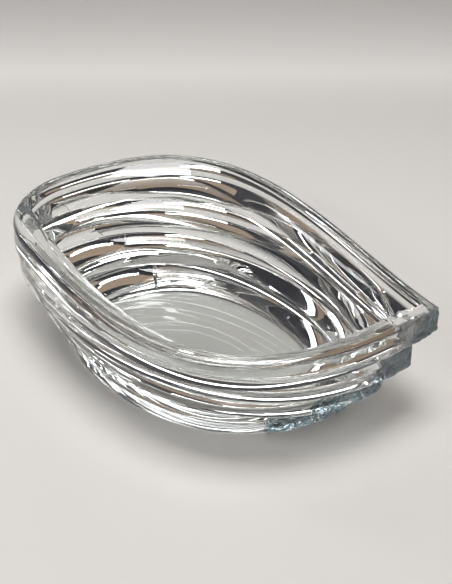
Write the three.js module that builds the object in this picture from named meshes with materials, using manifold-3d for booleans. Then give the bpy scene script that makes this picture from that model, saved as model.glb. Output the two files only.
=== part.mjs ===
// A heavy clear glass centerpiece bowl, leaf-shaped in plan, built up as a log wall is.
// Four courses of moulded glass bars are bonded on one another round a floor plate.
// Each course is a front bar and a rear bar, much the same but for half a turn about Z.
// Each bar runs out to one tip of the leaf, where its cut end shows. At the other tip it butts
// against the inner face of the other bar. The left end of the rim is ground round.
// Millimetres, +Z up. The origin is on the table, under the middle of the bowl, and +X points
// to the right tip.
import * as THREE from "three";
import { mergeVertices } from "three/addons/utils/BufferGeometryUtils.js";
import Module from "manifold-3d";

const wasm = await Module();
wasm.setup();

// Driving dimensions: the stack
const COURSE_NAMES = ["rim", "second", "third", "foot"];
const COURSE_HEIGHT = 24.3;
const BOND_GAP = 0.3;

// Driving dimensions: the leaf outlines of the rim and the foot, with the courses between eased from them.
// The front half runs from the right tip to the left one, and the rear half runs back. A half's bulge handle
// leaves the tip where it starts, and its tail handle the tip where it ends. Along is towards the other
// tip, and across is out from the line between the tips. The front half's tail is the fuller one.
const RIM_TIP_RADIUS = 184;
const RIM_BULGE_ALONG = 115;
const RIM_BULGE_ACROSS = 247;
const RIM_FRONT_TAIL_ALONG = 78;
const RIM_FRONT_TAIL_ACROSS = 60;
const RIM_REAR_TAIL_ALONG = 114;
const RIM_REAR_TAIL_ACROSS = 66;
const FOOT_TIP_RADIUS = 128;
const FOOT_BULGE_ALONG = 47;
const FOOT_BULGE_ACROSS = 155;
const FOOT_TAIL_ALONG = -10;
const FOOT_TAIL_ACROSS = 74;
const FOOT_TURN_DEGREES = -12.7;
const TIP_EASE = 1.36;
const TURN_EASE = 0.62;
const HANDLE_EASE = 2.3;
const FRONT_TAIL_EASE = 3.5;

// Driving dimensions: the sections of the bars, as insets from the outline of their course
const RIM_EDGE = 12;
const RIM_OUTER_ROUND = 6;
const RIM_INNER_ROUND = 3;
const LEFT_END_ROUND = 68;
const WALL_TOP = 15;
const WALL_BOTTOM = 30;
const OUTER_EDGE_ROUND = 3;
const INNER_EDGE_ROUND = 2;
const INNER_ROLL = 6;

// Driving dimensions: the floor plate
const FLOOR_THICKNESS = 9;
const FLOOR_RECESS = 0.8;

// Fineness of the curves
const BAR_STEPS = 36;
const ARC_STEPS = 3;
const CUT_STEPS = 144;
const END_ROUND_STEPS = 12;
const TANGENT_SEARCH_STEPS = 720;
const MERGE_TOLERANCE = 1e-4;

const COURSES = COURSE_NAMES.length;
const FOOT_COURSE = COURSES - 1;
const TOTAL_HEIGHT = COURSES * COURSE_HEIGHT;
const BAR_OVERRUN = 2 * WALL_BOTTOM;
const CUT_REACH = 4 * RIM_TIP_RADIUS;
const CUT_BOTTOM = -COURSE_HEIGHT;
const CUT_TOP = TOTAL_HEIGHT + COURSE_HEIGHT;

// The sides of a course, with the way each faces along Y and its tail at the rim
const FRONT = {
  facing: -1,
  tailAlong: RIM_FRONT_TAIL_ALONG,
  tailAcross: RIM_FRONT_TAIL_ACROSS,
  tailEase: FRONT_TAIL_EASE,
};
const REAR = {
  facing: 1,
  tailAlong: RIM_REAR_TAIL_ALONG,
  tailAcross: RIM_REAR_TAIL_ACROSS,
  tailEase: HANDLE_EASE,
};

const glass = () => new THREE.MeshStandardMaterial({ color: 0xdfe6e6, roughness: 0.04, metalness: 0 });

function ease(from, to, share, power) {
  return from + (to - from) * share ** power;
}

// The solid of a closed geometry.
function solidOf(geometry) {
  const bare = geometry.clone();
  bare.deleteAttribute("normal");
  bare.deleteAttribute("uv");
  const merged = mergeVertices(bare, MERGE_TOLERANCE);
  const vertProperties = merged.attributes.position.array;
  const triVerts = new Uint32Array(merged.index.array);
  return new wasm.Manifold(new wasm.Mesh({ numProp: 3, vertProperties, triVerts }));
}

function meshOf(solid, name) {
  const { vertProperties, triVerts } = solid.getMesh();
  const geometry = new THREE.BufferGeometry();
  geometry.setAttribute("position", new THREE.BufferAttribute(vertProperties, 3));
  geometry.setIndex(new THREE.BufferAttribute(triVerts, 1));
  geometry.computeVertexNormals();
  const mesh = new THREE.Mesh(geometry, glass());
  mesh.name = name;
  return mesh;
}

// An upright prism on a closed outline of plan points.
function prism(points, bottom, top) {
  const shape = new THREE.Shape(points);
  const geometry = new THREE.ExtrudeGeometry(shape, { depth: top - bottom, bevelEnabled: false });
  return solidOf(geometry.translate(0, 0, bottom));
}

// One half of a course's outline, drawn as a front half and given half a turn if it is the rear one.
function halfOutline(course, side) {
  const share = course / FOOT_COURSE;
  const radius = ease(RIM_TIP_RADIUS, FOOT_TIP_RADIUS, share, TIP_EASE);
  const turn = ease(0, THREE.MathUtils.degToRad(FOOT_TURN_DEGREES), share, TURN_EASE);
  const halfTurn = side === REAR ? Math.PI : 0;
  const eased = (rim, foot, power) => ease(foot, rim, 1 - share, power);
  const bulgeAlong = eased(RIM_BULGE_ALONG, FOOT_BULGE_ALONG, HANDLE_EASE);
  const bulgeAcross = eased(RIM_BULGE_ACROSS, FOOT_BULGE_ACROSS, HANDLE_EASE);
  const tailAlong = eased(side.tailAlong, FOOT_TAIL_ALONG, side.tailEase);
  const tailAcross = eased(side.tailAcross, FOOT_TAIL_ACROSS, side.tailEase);
  const points = [
    new THREE.Vector2(radius, 0),
    new THREE.Vector2(radius - bulgeAlong, -bulgeAcross),
    new THREE.Vector2(tailAlong - radius, -tailAcross),
    new THREE.Vector2(-radius, 0),
  ];
  points.forEach((point) => point.rotateAround(new THREE.Vector2(), turn + halfTurn));
  return new THREE.CubicBezierCurve(...points);
}

// The outline made longer at both ends, straight on, so that a bar swept along it can be cut to length.
function longPath(outline, extra) {
  const flat = (point) => new THREE.Vector3(point.x, point.y, 0);
  const start = outline.getPoint(0);
  const end = outline.getPoint(1);
  const before = start.clone().addScaledVector(outline.getTangent(0), -extra);
  const after = end.clone().addScaledVector(outline.getTangent(1), extra);
  const path = new THREE.CurvePath();
  path.add(new THREE.LineCurve3(flat(before), flat(start)));
  path.add(new THREE.CubicBezierCurve3(...[outline.v0, outline.v1, outline.v2, outline.v3].map(flat)));
  path.add(new THREE.LineCurve3(flat(end), flat(after)));
  return path;
}

// A bar's place in the stack and the insets of its inner face, which leans in towards its bottom.
function barSizes(course) {
  const isRim = course === 0;
  const bottom = (FOOT_COURSE - course) * COURSE_HEIGHT;
  return {
    bottom,
    top: bottom + COURSE_HEIGHT - (isRim ? 0 : BOND_GAP),
    topRound: isRim ? RIM_OUTER_ROUND : OUTER_EDGE_ROUND,
    innerTop: isRim ? RIM_EDGE : WALL_TOP,
    innerTopRound: isRim ? RIM_INNER_ROUND : INNER_EDGE_ROUND,
  };
}

// Swept along a path, a section's x points down and its y points to the left of the way the path runs.
const at = (inset, height) => [-height, -inset];

// The inner face of a bar, from its top edge down: a rounded edge, then a roll that swells into the bowl.
function addInnerFace(shape, course, clearance) {
  const { bottom, top, innerTop, innerTopRound } = barSizes(course);
  const edge = innerTop + clearance;
  const foot = WALL_BOTTOM + clearance;
  const swell = (edge + foot) / 2 + 2 * INNER_ROLL;
  shape.lineTo(...at(edge - innerTopRound, top));
  shape.quadraticCurveTo(...at(edge, top), ...at(edge, top - innerTopRound));
  shape.quadraticCurveTo(...at(swell, (top + bottom) / 2), ...at(foot, bottom));
}

function barSection(course) {
  const { bottom, top, topRound } = barSizes(course);
  const shape = new THREE.Shape();
  shape.moveTo(...at(OUTER_EDGE_ROUND, bottom));
  shape.quadraticCurveTo(...at(0, bottom), ...at(0, bottom + OUTER_EDGE_ROUND));
  shape.lineTo(...at(0, top - topRound));
  shape.quadraticCurveTo(...at(0, top), ...at(topRound, top));
  addInnerFace(shape, course, 0);
  return shape;
}

// What the other bar and the floor plate keep clear of: the bar's inner face, with a bond gap,
// and all that lies outside it.
function seatSection(course) {
  const { bottom, top } = barSizes(course);
  const shape = new THREE.Shape();
  shape.moveTo(...at(-WALL_BOTTOM, bottom - COURSE_HEIGHT));
  shape.lineTo(...at(-WALL_BOTTOM, top + COURSE_HEIGHT));
  shape.lineTo(...at(0, top + COURSE_HEIGHT));
  addInnerFace(shape, course, BOND_GAP);
  shape.lineTo(...at(WALL_BOTTOM + BOND_GAP, bottom - COURSE_HEIGHT));
  return shape;
}

function sweep(section, path) {
  const options = { extrudePath: path, steps: BAR_STEPS, curveSegments: ARC_STEPS, bevelEnabled: false };
  return new THREE.ExtrudeGeometry(section, options);
}

// What lies on the bowl's side of a half outline, which is carried on straight past its tips.
function inside(outline, side) {
  const path = longPath(outline, CUT_REACH);
  const points = path.getSpacedPoints(CUT_STEPS).map((point) => new THREE.Vector2(point.x, point.y));
  const first = points[0];
  const last = points[points.length - 1];
  const far = -side.facing * 2 * CUT_REACH;
  points.push(new THREE.Vector2(last.x, far), new THREE.Vector2(first.x, far));
  return prism(points, CUT_BOTTOM, CUT_TOP);
}

// The half of the bowl where a side's outline ends: the left one for the front, the right one for the rear.
function tailHalf(side) {
  const far = side.facing * CUT_REACH;
  const corners = [[far, far], [0, far], [0, -far], [far, -far]];
  const points = corners.map((corner) => new THREE.Vector2(...corner));
  return prism(points, CUT_BOTTOM, CUT_TOP);
}

// A bar of a course, cut off flush with the outline of the other side at the tip that it runs out to, and to
// the inner face of the other bar at the other tip.
function bar(course, side, other) {
  const path = longPath(halfOutline(course, side), BAR_OVERRUN);
  const otherOutline = halfOutline(course, other);
  const seat = sweep(seatSection(course), longPath(otherOutline, BAR_OVERRUN));
  const long = solidOf(sweep(barSection(course), path));
  return long.intersect(inside(otherOutline, other)).subtract(solidOf(seat).intersect(tailHalf(other)));
}

// What is ground off the left end, so that the two halves of the rim's outline run into one round end.
function leftEndWaste(radius) {
  const outline = halfOutline(0, FRONT);
  const rearPoints = halfOutline(0, REAR).getSpacedPoints(TANGENT_SEARCH_STEPS);
  const tip = outline.getPoint(1);
  let centre;
  let frontPoint;
  let rearPoint;
  for (let step = 0; step <= TANGENT_SEARCH_STEPS && !rearPoint; step++) {
    const share = 1 - step / TANGENT_SEARCH_STEPS;
    const along = outline.getTangentAt(share);
    frontPoint = outline.getPointAt(share);
    centre = frontPoint.clone().add(new THREE.Vector2(along.y, -along.x).multiplyScalar(radius));
    const reach = (point) => point.distanceTo(centre);
    const nearest = rearPoints.reduce((best, point) => (reach(point) < reach(best) ? point : best));
    if (reach(nearest) >= radius) rearPoint = nearest;
  }
  const towards = (angle, reach) =>
    new THREE.Vector2(Math.cos(angle), Math.sin(angle)).multiplyScalar(reach).add(centre);
  const from = frontPoint.sub(centre).angle();
  const to = rearPoint.sub(centre).angle();
  const beyond = 2 * radius;
  const points = [];
  for (let step = 0; step <= END_ROUND_STEPS; step++) {
    points.push(towards(from + ((to - from) * step) / END_ROUND_STEPS, radius));
  }
  points.push(towards(to, beyond), towards(tip.sub(centre).angle(), beyond), towards(from, beyond));
  return prism(points, CUT_BOTTOM, CUT_TOP);
}

// The plate that closes the foot, let in between its two bars.
function floorPlate() {
  const halves = [FRONT, REAR].map((side) => halfOutline(FOOT_COURSE, side));
  const insideBars = 1 - WALL_BOTTOM / 2 / FOOT_TIP_RADIUS;
  const points = halves.flatMap((half) => half.getSpacedPoints(BAR_STEPS).slice(0, -1));
  points.forEach((point) => point.multiplyScalar(insideBars));
  let plate = prism(points, FLOOR_RECESS, FLOOR_RECESS + FLOOR_THICKNESS);
  for (const half of halves) {
    plate = plate.subtract(solidOf(sweep(seatSection(FOOT_COURSE), longPath(half, BAR_OVERRUN))));
  }
  return plate;
}

const bowl = new THREE.Group();
const waste = leftEndWaste(LEFT_END_ROUND);
COURSE_NAMES.forEach((name, course) => {
  bowl.add(meshOf(bar(course, FRONT, REAR).subtract(waste), `${name}_front_bar`));
  bowl.add(meshOf(bar(course, REAR, FRONT).subtract(waste), `${name}_rear_bar`));
});
bowl.add(meshOf(floorPlate(), "floor_plate"));

// The rounded left end leaves the bowl longer to the right, so its middle is brought over the origin.
const middle = new THREE.Box3().setFromObject(bowl).getCenter(new THREE.Vector3());
bowl.position.set(-middle.x, -middle.y, 0);

export default bowl;
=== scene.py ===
import math
import bpy
from mathutils import Matrix, Vector
from mathutils.geometry import interpolate_bezier


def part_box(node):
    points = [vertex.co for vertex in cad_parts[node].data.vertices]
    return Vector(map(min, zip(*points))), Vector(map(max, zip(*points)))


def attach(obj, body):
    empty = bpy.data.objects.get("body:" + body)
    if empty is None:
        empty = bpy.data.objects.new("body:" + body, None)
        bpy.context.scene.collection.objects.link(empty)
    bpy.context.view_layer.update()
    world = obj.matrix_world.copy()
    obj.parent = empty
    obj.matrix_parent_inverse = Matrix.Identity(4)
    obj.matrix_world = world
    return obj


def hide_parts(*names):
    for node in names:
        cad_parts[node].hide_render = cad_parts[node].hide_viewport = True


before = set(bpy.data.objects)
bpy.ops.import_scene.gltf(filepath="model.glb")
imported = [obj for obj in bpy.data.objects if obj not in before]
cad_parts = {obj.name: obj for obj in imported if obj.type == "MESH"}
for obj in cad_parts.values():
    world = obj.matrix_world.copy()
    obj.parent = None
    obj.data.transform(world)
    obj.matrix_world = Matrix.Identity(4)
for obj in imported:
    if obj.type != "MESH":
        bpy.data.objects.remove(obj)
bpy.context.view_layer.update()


# Clear crystal
# The bowl is colourless full-lead crystal, cast and then fire-polished, so its skin is smooth but flows in
# faint waves. It bends light strongly and shows white highlights beside near-black bands.
CRYSTAL_TINT = "#fbfdfc"
CRYSTAL_IOR = 1.54
FLOW_WAVE = 0.032
FLOW_HEIGHT = 0.00006


def linear(code):
    """An sRGB hex colour as linear red, green, blue and alpha."""
    parts = [int(code[i:i + 2], 16) / 255 for i in (1, 3, 5)]
    return [p / 12.92 if p <= 0.04045 else ((p + 0.055) / 1.055) ** 2.4 for p in parts] + [1]


def add_node(material, kind, **inputs):
    """A node, with each socket set to a value or fed by another node's socket."""
    node = material.node_tree.nodes.new(kind)
    for name, value in inputs.items():
        socket = node.inputs[name.replace("_", " ")]
        if isinstance(value, bpy.types.NodeSocket):
            material.node_tree.links.new(value, socket)
        else:
            socket.default_value = value
    return node


def new_material(name):
    """A material with no nodes yet."""
    material = bpy.data.materials.new(name)
    material.use_nodes = True
    material.node_tree.nodes.clear()
    return material


clear_crystal = new_material("clear_crystal")
place = add_node(clear_crystal, "ShaderNodeTexCoord")
flow = add_node(clear_crystal, "ShaderNodeTexNoise", Vector=place.outputs["Object"],
                Scale=1 / FLOW_WAVE, Detail=1.0, Roughness=0.4)
waves = add_node(clear_crystal, "ShaderNodeBump", Height=flow.outputs["Fac"],
                 Distance=FLOW_HEIGHT, Strength=1.0)
crystal = add_node(clear_crystal, "ShaderNodeBsdfPrincipled", Base_Color=linear(CRYSTAL_TINT),
                   Roughness=0.0, IOR=CRYSTAL_IOR, Transmission_Weight=1.0,
                   Normal=waves.outputs["Normal"])
add_node(clear_crystal, "ShaderNodeOutputMaterial", Surface=crystal.outputs["BSDF"])


# Icy cut ends
# Where a bar is broken off at a tip of the leaf its end is left as it came: granular and chipped. Its
# colour is painted: slate blue from the length of glass seen through it, darkened further as painted shade
# for a dark room behind it, with white specks that are painted glints.
ICE_SLATE_AND_PAINTED_SHADE = "#42606d"
ICE_PAINTED_GLINT = "#eef4f6"
ICE_SHARES = (0.50, 0.68)
ICE_GRAIN = 0.0026
ICE_RELIEF = 0.0005
ICE_ROUGHNESS = 0.12

icy_end = new_material("icy_cut_crystal")
place = add_node(icy_end, "ShaderNodeTexCoord")
grain = add_node(icy_end, "ShaderNodeTexNoise", Vector=place.outputs["Object"],
                 Scale=1 / ICE_GRAIN, Detail=3.0, Roughness=0.6)
# The ramp paints the end by a grain: slate blue darkened as painted shade, and white specks as painted
# glints.
tone = add_node(icy_end, "ShaderNodeValToRGB", Fac=grain.outputs["Fac"])
for stop, share, colour in zip(tone.color_ramp.elements, ICE_SHARES, (ICE_SLATE_AND_PAINTED_SHADE, ICE_PAINTED_GLINT)):
    stop.position = share
    stop.color = linear(colour)
relief = add_node(icy_end, "ShaderNodeBump", Height=grain.outputs["Fac"],
                  Distance=ICE_RELIEF, Strength=1.0)
ice = add_node(icy_end, "ShaderNodeBsdfPrincipled", Base_Color=tone.outputs["Color"],
               Roughness=ICE_ROUGHNESS, IOR=CRYSTAL_IOR, Transmission_Weight=1.0,
               Normal=relief.outputs["Normal"])
add_node(icy_end, "ShaderNodeOutputMaterial", Surface=ice.outputs["BSDF"])


# Clear bond
# The bars are bonded by a film with the crystal's own refractive index, so a bonded face can't be seen at
# all and light goes straight through it.
clear_bond = new_material("clear_bond")
film = add_node(clear_bond, "ShaderNodeBsdfTransparent")
add_node(clear_bond, "ShaderNodeOutputMaterial", Surface=film.outputs["BSDF"])


# Bars of the wall
# Each of the four courses is a front bar and a rear bar of solid crystal, swept from one section. At each
# tip of the leaf one bar of a course runs past the other, which butts on its inner face. The ends of the
# rear bars at the right are left rough, and so is the joint in the rim at the left.
COURSES = ("rim", "second", "third", "foot")
OTHER = {"front": "rear", "rear": "front"}
SIDE_TURN = {"front": 0, "rear": math.pi}
RIM_TIP_RADIUS = 0.184
RIM_BULGE_HANDLE = Vector((-0.115, -0.247, 0))
RIM_TAIL_HANDLE = {"front": Vector((0.078, -0.060, 0)), "rear": Vector((0.114, -0.066, 0))}
FOOT_TIP_RADIUS = 0.128
FOOT_BULGE_HANDLE = Vector((-0.047, -0.155, 0))
FOOT_TAIL_HANDLE = Vector((-0.010, -0.074, 0))
FOOT_TURN = math.radians(-12.7)
TIP_EASE = 1.36
TURN_EASE = 0.62
HANDLE_EASE = 2.3
TAIL_EASE = {"front": 3.5, "rear": HANDLE_EASE}
RIM_EDGE = 0.012
RIM_OUTER_ROUND = 0.006
RIM_INNER_ROUND = 0.003
WALL_TOP = 0.015
WALL_BOTTOM = 0.030
OUTER_EDGE_ROUND = 0.003
INNER_EDGE_ROUND = 0.002
INNER_ROLL = 0.006
BAR_OVERRUN = 0.060
CUT_OVERRUN = 0.150
CUT_WIDTH = 0.080
ROUGH_JOINTS = (("rim", "rear"),)
ROUGH_REACH = 0.120
ROUGH_CUTS = 5
UPRIGHT = 0.5
CHIP_WIDTH = 0.004
CHIP_DEPTH = 0.0016
GRAIN_WIDTH = 0.0012
GRAIN_DEPTH = 0.0009
BOND = 0.00005
POLISH = 0.0002
SEAM = 1e-7
PATH_STEPS = 90
ARC_STEPS = 8
ROUND_HANDLE = 0.5523

AXIS = (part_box("foot_front_bar")[0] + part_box("foot_rear_bar")[1]) / 2
AXIS.z = 0


def only(piece):
    """Makes a piece the only one selected, and active."""
    bpy.ops.object.select_all(action="DESELECT")
    piece.select_set(True)
    bpy.context.view_layer.objects.active = piece


def draw(name, knots, closed, steps):
    """A Bezier curve through knots, each a handle before, a place and a handle after."""
    bpy.ops.object.select_all(action="DESELECT")
    bpy.ops.curve.primitive_bezier_curve_add()
    line = bpy.context.object
    line.name = name
    line.data.resolution_u = steps
    spline = line.data.splines[0]
    spline.use_cyclic_u = closed
    spline.bezier_points.add(len(knots) - len(spline.bezier_points))
    for point, (before, spot, after) in zip(spline.bezier_points, knots):
        point.handle_left_type = "FREE"
        point.handle_right_type = "FREE"
        point.handle_left = before
        point.co = spot
        point.handle_right = after
    return line


def straight(start, end):
    """The two handles of a straight stretch."""
    return start.lerp(end, 1 / 3), start.lerp(end, 2 / 3)


def edge_of(course, side):
    """The Bezier points of half a course's edge: the front half from right to left, the rear half back."""
    share = COURSES.index(course) / (len(COURSES) - 1)
    radius = RIM_TIP_RADIUS + (FOOT_TIP_RADIUS - RIM_TIP_RADIUS) * share ** TIP_EASE
    turn = Matrix.Rotation(FOOT_TURN * share ** TURN_EASE + SIDE_TURN[side], 3, "Z")
    right = Vector((radius, 0, 0))
    bulge = right + FOOT_BULGE_HANDLE.lerp(RIM_BULGE_HANDLE, (1 - share) ** HANDLE_EASE)
    tail = -right + FOOT_TAIL_HANDLE.lerp(RIM_TAIL_HANDLE[side], (1 - share) ** TAIL_EASE[side])
    return [turn @ point + AXIS for point in (right, bulge, tail, -right)]


def path_along(edge, overrun):
    """The knots of an edge carried straight on past both its ends."""
    start, bulge, tail, end = edge
    before = start + (start - bulge).normalized() * overrun
    after = end + (end - tail).normalized() * overrun
    out_of_before, into_start = straight(before, start)
    out_of_end, into_after = straight(end, after)
    return [(before, before, out_of_before), (into_start, start, bulge),
            (tail, end, out_of_end), (into_after, after, after)]


def section(corners):
    """The knots of a closed section from corners, each an inset, a height and a rounding."""
    spots = [Vector((inset, height, 0)) for inset, height, rounding in corners]
    knots = []
    for index, (inset, height, rounding) in enumerate(corners):
        spot = spots[index]
        last = spots[index - 1]
        following = spots[(index + 1) % len(spots)]
        if rounding == 0:
            knots.append([spot.lerp(last, 1 / 3), spot, spot.lerp(following, 1 / 3)])
            continue
        start = spot + (last - spot).normalized() * rounding
        end = spot + (following - spot).normalized() * rounding
        knots.append([start.lerp(last, 1 / 3), start, start.lerp(spot, ROUND_HANDLE)])
        knots.append([end.lerp(spot, ROUND_HANDLE), end, end.lerp(following, 1 / 3)])
    return knots


def close_up(solid, material):
    """Joins the seams of a solid that was a curve, turns its faces outwards and gives it a material."""
    bpy.ops.object.mode_set(mode="EDIT")
    bpy.ops.mesh.select_all(action="SELECT")
    bpy.ops.mesh.remove_doubles(threshold=SEAM)
    bpy.ops.mesh.normals_make_consistent(inside=False)
    bpy.ops.object.mode_set(mode="OBJECT")
    solid.data.materials.clear()
    solid.data.materials.append(material)


def sweep(name, path, knots, material):
    """The solid that a section makes when it is drawn along a path."""
    profile = draw("profile", knots, True, ARC_STEPS)
    profile.data.dimensions = "2D"
    line = draw(name, path, False, PATH_STEPS)
    line.data.twist_mode = "Z_UP"
    line.data.bevel_mode = "OBJECT"
    line.data.bevel_object = profile
    line.data.use_fill_caps = True
    only(line)
    bpy.ops.object.convert(target="MESH")
    solid = bpy.context.object
    bpy.data.objects.remove(profile)
    close_up(solid, material)
    return solid


def cut(piece, cutter):
    """Cuts a cutter out of a piece, whose new faces take the cutter's material."""
    only(piece)
    bpy.ops.object.modifier_add(type="BOOLEAN")
    boolean = piece.modifiers[-1]
    boolean.operation = "DIFFERENCE"
    boolean.solver = "MANIFOLD"
    boolean.material_mode = "TRANSFER"
    boolean.object = cutter
    bpy.ops.object.modifier_apply(modifier=boolean.name)


def bar_section(course):
    """A bar's section: upright outside, rounded at its edges, with a roll swelling into the bowl."""
    low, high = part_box(f"{course}_rear_bar")
    is_rim = course == "rim"
    above = COURSES[COURSES.index(course) - 1]
    top = high.z if is_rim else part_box(f"{above}_rear_bar")[0].z - BOND
    bottom = low.z
    edge = RIM_EDGE if is_rim else WALL_TOP
    top_round = RIM_OUTER_ROUND if is_rim else OUTER_EDGE_ROUND
    edge_round = RIM_INNER_ROUND if is_rim else INNER_EDGE_ROUND
    knots = section([(POLISH, bottom, OUTER_EDGE_ROUND), (POLISH, top, top_round),
                     (edge, top, edge_round), (WALL_BOTTOM, bottom, 0)])
    # The inner face runs from its lip to its foot as a roll, not straight.
    swell = Vector(((edge + WALL_BOTTOM) / 2 + 2 * INNER_ROLL, (top + bottom) / 2, 0))
    lip = Vector((edge, top - edge_round, 0))
    foot = knots[-1]
    knots[-2] = [lip.lerp(Vector((edge, top, 0)), ROUND_HANDLE), lip, lip.lerp(swell, 2 / 3)]
    foot[0] = foot[1].lerp(swell, 2 / 3)
    return knots, bottom, top


def seat_section(knots, bottom, top):
    """All that lies outside a bar's inner face, with room for the bond."""
    inner = [[spot + Vector((BOND, 0, 0)) for spot in knot] for knot in knots[-3:]]
    outside = -CUT_WIDTH
    over = top + WALL_BOTTOM
    under = bottom - WALL_BOTTOM
    ends = section([(outside, under, 0), (outside, over, 0), (inner[0][1].x, over, 0)])
    foot = inner[-1][1]
    inner[-1][2] = foot
    last = section([(foot.x, under, 0), (outside, under, 0), (outside, over, 0)])[0]
    return [*ends, *inner, last]


def roughen(cutter, tip):
    """Breaks up the upright face of a cutter, near a tip of the leaf, into chips and grain."""
    only(cutter)
    bpy.ops.object.mode_set(mode="EDIT")
    bpy.ops.mesh.select_all(action="DESELECT")
    bpy.ops.object.mode_set(mode="OBJECT")
    for face in cutter.data.polygons:
        inwards = face.normal.dot(face.center - AXIS) < 0 and abs(face.normal.z) < UPRIGHT
        level = Vector((face.center.x, face.center.y, 0))
        face.select = inwards and (level - tip).length < ROUGH_REACH
    bpy.ops.object.mode_set(mode="EDIT")
    bpy.ops.mesh.subdivide(number_cuts=ROUGH_CUTS)
    bpy.ops.object.mode_set(mode="OBJECT")
    part = "rough_part"
    corners = [v.index for v in cutter.data.vertices if v.select]
    cutter.vertex_groups.new(name=part).add(corners, 1, "REPLACE")
    for name, kind, width, depth in (("chips", "VORONOI", CHIP_WIDTH, CHIP_DEPTH),
                                     ("grain", "CLOUDS", GRAIN_WIDTH, GRAIN_DEPTH)):
        pattern = bpy.data.textures.new(name, kind)
        pattern.noise_scale = width
        bpy.ops.object.modifier_add(type="DISPLACE")
        relief = cutter.modifiers[-1]
        relief.texture = pattern
        relief.texture_coords = "LOCAL"
        relief.vertex_group = part
        relief.mid_level = 0
        relief.strength = depth
        bpy.ops.object.modifier_apply(modifier=relief.name)


def take_half(piece, tip):
    """Takes away the half of a piece that lies towards a tip of the leaf."""
    only(piece)
    bpy.ops.object.mode_set(mode="EDIT")
    bpy.ops.mesh.select_all(action="SELECT")
    bpy.ops.mesh.bisect(plane_co=AXIS, plane_no=tip - AXIS, clear_outer=True, use_fill=True)
    bpy.ops.object.mode_set(mode="OBJECT")


def make_bar(course, side, end, joint):
    """A bar, with the material of its end at one tip and of its joint on the other bar at the other tip."""
    knots, bottom, top = bar_section(course)
    bar = sweep(f"{course}_{side}", path_along(edge_of(course, side), BAR_OVERRUN), knots, clear_crystal)
    edge = edge_of(course, OTHER[side])
    over = top + WALL_BOTTOM
    under = bottom - WALL_BOTTOM
    waste = sweep("waste", path_along(edge, CUT_OVERRUN),
                  section([(-CUT_WIDTH, under, 0), (-CUT_WIDTH, over, 0), (0, over, 0),
                           (0, top, 0), (0, bottom, 0), (0, under, 0)]),
                  end)
    if end == icy_end:
        roughen(waste, edge[0])
    cut(bar, waste)
    bpy.data.objects.remove(waste)
    seat = sweep("seat", path_along(edge, BAR_OVERRUN), seat_section(knots, bottom, top), joint)
    take_half(seat, edge[0])
    cut(bar, seat)
    bpy.data.objects.remove(seat)
    return bar


bars = {}
for course in COURSES:
    for side, end in (("front", clear_crystal), ("rear", icy_end)):
        joint = icy_end if (course, side) in ROUGH_JOINTS else clear_bond
        bars[course, side] = make_bar(course, side, end, joint)


# Round left end
# At the left the two bars of the rim are ground and polished to one round end. The grinding also takes off
# what stands out of it under them, on the bars of the second course.
LEFT_END_RADIUS = 0.068
SEARCH_STEPS = 600


def left_end_arc():
    """The Bezier points of the arc that both halves of the rim's edge run into."""
    front = interpolate_bezier(*edge_of("rim", "front"), SEARCH_STEPS)
    rear = interpolate_bezier(*edge_of("rim", "rear"), SEARCH_STEPS)
    for before, start in zip(front[-2::-1], front[::-1]):
        along = (start - before).normalized()
        centre = start + Vector((along.y, -along.x, 0)) * LEFT_END_RADIUS
        end = min(rear, key=lambda spot: (spot - centre).length)
        if (end - centre).length >= LEFT_END_RADIUS:
            break
    reach = 4 / 3 * math.tan((start - centre).angle(end - centre) / 4)
    quarter = Matrix.Rotation(-math.pi / 2, 3, "Z")
    leave = quarter @ (start - centre) * reach
    arrive = quarter @ (end - centre) * reach
    return [start, start + leave, end - arrive, end]


knots, bottom, top = bar_section("rim")
wheel = section([(-CUT_WIDTH, bottom - WALL_BOTTOM, 0), (-CUT_WIDTH, top + WALL_BOTTOM, 0),
                 (RIM_OUTER_ROUND, top + WALL_BOTTOM, 0), (RIM_OUTER_ROUND, top, 0),
                 (POLISH, top - RIM_OUTER_ROUND, 0), (POLISH, bottom + OUTER_EDGE_ROUND, 0),
                 (OUTER_EDGE_ROUND, bottom, 0), (OUTER_EDGE_ROUND, bottom - WALL_BOTTOM, 0)])
for knot, following, height in ((wheel[3], wheel[4], top), (wheel[5], wheel[6], bottom)):
    corner = Vector((POLISH, height, 0))
    knot[2] = knot[1].lerp(corner, ROUND_HANDLE)
    following[0] = following[1].lerp(corner, ROUND_HANDLE)
grinding = sweep("grinding", path_along(left_end_arc(), CUT_WIDTH), wheel, clear_crystal)
for (course, side), bar in bars.items():
    if course in ("rim", "second"):
        cut(bar, grinding)
bpy.data.objects.remove(grinding)


# Floor plate
# A flat plate of the same crystal closes the bottom. It is let in between the two foot bars, a little above
# the table, and bonded to them all round its edge.
low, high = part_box("floor_plate")
near = edge_of("foot", "front")
far = edge_of("foot", "rear")
outer = [(far[2], near[0], near[1]), (near[2], near[3], far[1])]
plate = draw("floor_plate_glass", outer, True, PATH_STEPS)
plate.data.dimensions = "2D"
plate.data.fill_mode = "BOTH"
plate.data.extrude = (high.z - low.z) / 2
only(plate)
bpy.ops.object.convert(target="MESH")
plate = bpy.context.object
plate.data.transform(Matrix.Translation((0, 0, (low.z + high.z) / 2)))
close_up(plate, clear_crystal)
knots, bottom, top = bar_section("foot")
for edge in (near, far):
    seat = sweep("seat", path_along(edge, BAR_OVERRUN), seat_section(knots, bottom, top), clear_bond)
    cut(plate, seat)
    bpy.data.objects.remove(seat)


# Bonded faces
# Wherever two bars touch, the film of bond between them is a shallow pocket in each, which shows nothing.
# The rest of each face keeps its polish.
FILM = 0.0001
UP = Vector((0, 0, FILM))


def copy_of(piece, name):
    """A copy with its own mesh."""
    only(piece)
    bpy.ops.object.duplicate()
    twin = bpy.context.object
    twin.name = name
    return twin


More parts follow.
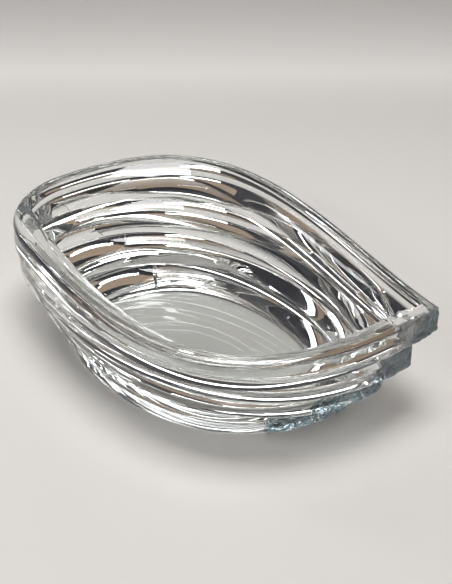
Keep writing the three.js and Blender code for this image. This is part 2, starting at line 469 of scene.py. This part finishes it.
def as_film(piece, shift):
    """A cutter for a film, which is the touching piece moved by the film's thickness."""
    cutter = copy_of(piece, "film")
    cutter.data.transform(Matrix.Translation(shift))
    cutter.data.materials.clear()
    cutter.data.materials.append(clear_bond)
    return cutter


blanks = {key: copy_of(bar, "blank") for key, bar in bars.items()}
for (course, side), bar in bars.items():
    row = COURSES.index(course)
    cutters = []
    if (course, OTHER[side]) not in ROUGH_JOINTS:
        start, bulge, tail, tip = edge_of(course, side)
        along = (tip - tail).normalized()
        outwards = Vector((-along.y, along.x, 0)) * FILM
        cutters.append(as_film(blanks[course, OTHER[side]], outwards))
        take_half(cutters[0], start)
    for touching, shift in ((row + 1, UP), (row - 1, -UP)):
        if 0 <= touching < len(COURSES):
            cutters += [as_film(blanks[COURSES[touching], which], shift) for which in OTHER]
    for cutter in cutters:
        cut(bar, cutter)
        bpy.data.objects.remove(cutter)
for blank in blanks.values():
    bpy.data.objects.remove(blank)


# Finished pieces
# The nine pieces of crystal are cleaned of the specks that the cuts leave, and each takes the place of its
# solid. Polished faces are smooth, and the icy ends keep their facets.
SPECK = 0.000005
SMOOTH_ANGLE = math.radians(32)


def weld(piece):
    """Joins what lies closer together than a speck, and fills pin holes."""
    only(piece)
    bpy.ops.object.mode_set(mode="EDIT")
    bpy.ops.mesh.select_all(action="SELECT")
    bpy.ops.mesh.remove_doubles(threshold=SPECK)
    bpy.ops.mesh.dissolve_degenerate(threshold=SPECK)
    bpy.ops.mesh.fill_holes(sides=0)
    bpy.ops.object.mode_set(mode="OBJECT")


def without_specks(piece):
    """The piece without the specks that the cuts left hanging on its edges and corners."""
    weld(piece)
    bpy.ops.object.mode_set(mode="EDIT")
    bpy.ops.mesh.quads_convert_to_tris()
    bpy.ops.mesh.select_mode(type="EDGE")
    bpy.ops.mesh.select_all(action="DESELECT")
    bpy.ops.mesh.select_non_manifold(use_non_contiguous=False, use_verts=False)
    bpy.ops.mesh.edge_split(type="EDGE")
    bpy.ops.mesh.select_mode(type="VERT")
    bpy.ops.mesh.select_all(action="DESELECT")
    bpy.ops.mesh.select_non_manifold(use_wire=False, use_boundary=False, use_multi_face=False,
                                     use_non_contiguous=False)
    bpy.ops.mesh.edge_split(type="VERT")
    bpy.ops.mesh.separate(type="LOOSE")
    bpy.ops.object.mode_set(mode="OBJECT")
    shells = sorted(bpy.context.selected_objects, key=lambda shell: len(shell.data.polygons))
    solid = shells.pop()
    for speck in shells:
        bpy.data.objects.remove(speck)
    weld(solid)
    return solid


pieces = {f"{course}_{side}_bar": bar for (course, side), bar in bars.items()}
pieces["floor_plate"] = plate
for node, raw in pieces.items():
    # The second pass takes off the specks that the first one opens up.
    piece = without_specks(without_specks(raw))
    only(piece)
    bpy.ops.object.shade_smooth_by_angle(angle=SMOOTH_ANGLE)
    for face in piece.data.polygons:
        if piece.data.materials[face.material_index] == icy_end:
            face.use_smooth = False
    piece.name = f"{node}_crystal"
    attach(piece, "root")
    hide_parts(node)


# Table and card
# A plain pale matt table top. A card of warm paper hangs high behind the bowl, out of the picture, and
# shows in the glass.
TABLE_COLOUR = "#d6d3cf"
TABLE_DROP = 0.0002
TABLE_SIZE = 12.0
CARD_COLOUR = "#b59c82"
CARD_DISTANCE = 0.45
CARD_WIDTH = 1.4
CARD_LOW = 0.50
CARD_HIGH = 1.60
MATT_ROUGHNESS = 0.6
MOTTLE_WIDTH = 1 / 3
MOTTLE = 0.03
VIEW_TURN = math.radians(21.4)


def matt(name, colour):
    """A matt material, very faintly mottled."""
    material = new_material(name)
    place = add_node(material, "ShaderNodeTexCoord")
    mottle = add_node(material, "ShaderNodeTexNoise", Vector=place.outputs["Object"],
                      Scale=1 / MOTTLE_WIDTH)
    shade = add_node(material, "ShaderNodeMapRange", Value=mottle.outputs["Fac"],
                     To_Min=1 - MOTTLE, To_Max=1 + MOTTLE)
    tone = add_node(material, "ShaderNodeHueSaturation", Color=linear(colour),
                    Value=shade.outputs["Result"])
    skin = add_node(material, "ShaderNodeBsdfPrincipled", Base_Color=tone.outputs["Color"],
                    Roughness=MATT_ROUGHNESS)
    add_node(material, "ShaderNodeOutputMaterial", Surface=skin.outputs["BSDF"])
    return material


bpy.ops.object.select_all(action="DESELECT")
bpy.ops.mesh.primitive_plane_add(size=TABLE_SIZE, location=(0, 0, -TABLE_DROP))
table = bpy.context.object
table.name = "table_top"
table.data.materials.append(matt("pale_table", TABLE_COLOUR))
away = Vector((-math.sin(VIEW_TURN), math.cos(VIEW_TURN), 0))
middle = away * CARD_DISTANCE + Vector((0, 0, (CARD_LOW + CARD_HIGH) / 2))
bpy.ops.mesh.primitive_plane_add(size=1, location=middle, rotation=(math.pi / 2, 0, VIEW_TURN))
card = bpy.context.object
card.name = "rear_card"
card.scale = (CARD_WIDTH, CARD_HIGH - CARD_LOW, 1)
card.data.materials.append(matt("warm_paper", CARD_COLOUR))


# Studio light
# One large lamp high overhead lights the table evenly. Narrow white strips round the bowl draw the white
# lines in the crystal, and two wide dim panels of a warm white fill the ribs. The room round them is dark
# slate grey.
WHITE = "#ffffff"
WARM = "#e0c4a6"
ROOM_COLOUR = "#303035"
AIM = Vector((0, 0, 0.05))


def soft_box(name, place, width, height, power, colour=WHITE):
    """A lamp that is an evenly lit rectangle, turned to the bowl."""
    bpy.ops.object.light_add(type="AREA", location=place)
    lamp = bpy.context.object
    lamp.name = name
    lamp.data.shape = "RECTANGLE"
    lamp.data.size = width
    lamp.data.size_y = height
    lamp.data.energy = power
    lamp.data.color = linear(colour)[:3]
    lamp.rotation_euler = (AIM - Vector(place)).to_track_quat("-Z", "Y").to_euler()


soft_box("overhead", (0, 0, 4.5), 2.0, 2.0, 170)
soft_box("front_strip", (-0.35, -1.15, 1.10), 0.9, 0.10, 3)
soft_box("left_strip", (-1.1, 0.1, 0.7), 0.10, 0.8, 2)
soft_box("right_strip", (1.05, -0.43, 0.95), 0.7, 0.04, 0.7)
soft_box("rear_strip", (-0.33, 0.84, 0.55), 0.6, 0.05, 0.8)
soft_box("front_panel", (0, -1.7, 1.18), 3.4, 0.35, 1.6, WARM)
soft_box("right_panel", (1.5, -0.35, 1.12), 2.6, 0.30, 1.1, WARM)
world = bpy.data.worlds.new("dark_studio")
bpy.context.scene.world = world
world.use_nodes = True
world.node_tree.nodes["Background"].inputs["Color"].default_value = linear(ROOM_COLOUR)


# Camera
# It looks down on the bowl from the front and a little to the right, as the photograph does. Light is
# followed through the many faces of the crystal.
VIEW_FALL = math.radians(37)
DISTANCE = 1.303
OFF_RIGHT = 0.0150
OFF_UP = 0.0464
FRAME_HEIGHT = 584
FOCAL_PIXELS = 1639
SENSOR = 36

across = Vector((math.cos(VIEW_TURN), math.sin(VIEW_TURN), 0))
sight = away * math.cos(VIEW_FALL) - Vector((0, 0, math.sin(VIEW_FALL)))
upright = away * math.sin(VIEW_FALL) + Vector((0, 0, math.cos(VIEW_FALL)))
bpy.ops.object.camera_add(location=AXIS - sight * DISTANCE + across * OFF_RIGHT + upright * OFF_UP)
camera = bpy.context.object
camera.rotation_mode = "QUATERNION"
camera.rotation_quaternion = Matrix((across, upright, -sight)).transposed().to_quaternion()
camera.data.sensor_width = SENSOR
camera.data.lens = FOCAL_PIXELS * SENSOR / FRAME_HEIGHT
scene = bpy.context.scene
scene.camera = camera
scene.view_settings.view_transform = "Standard"
scene.cycles.max_bounces = 32
scene.cycles.transmission_bounces = 24
scene.cycles.glossy_bounces = 16
scene.cycles.transparent_max_bounces = 64
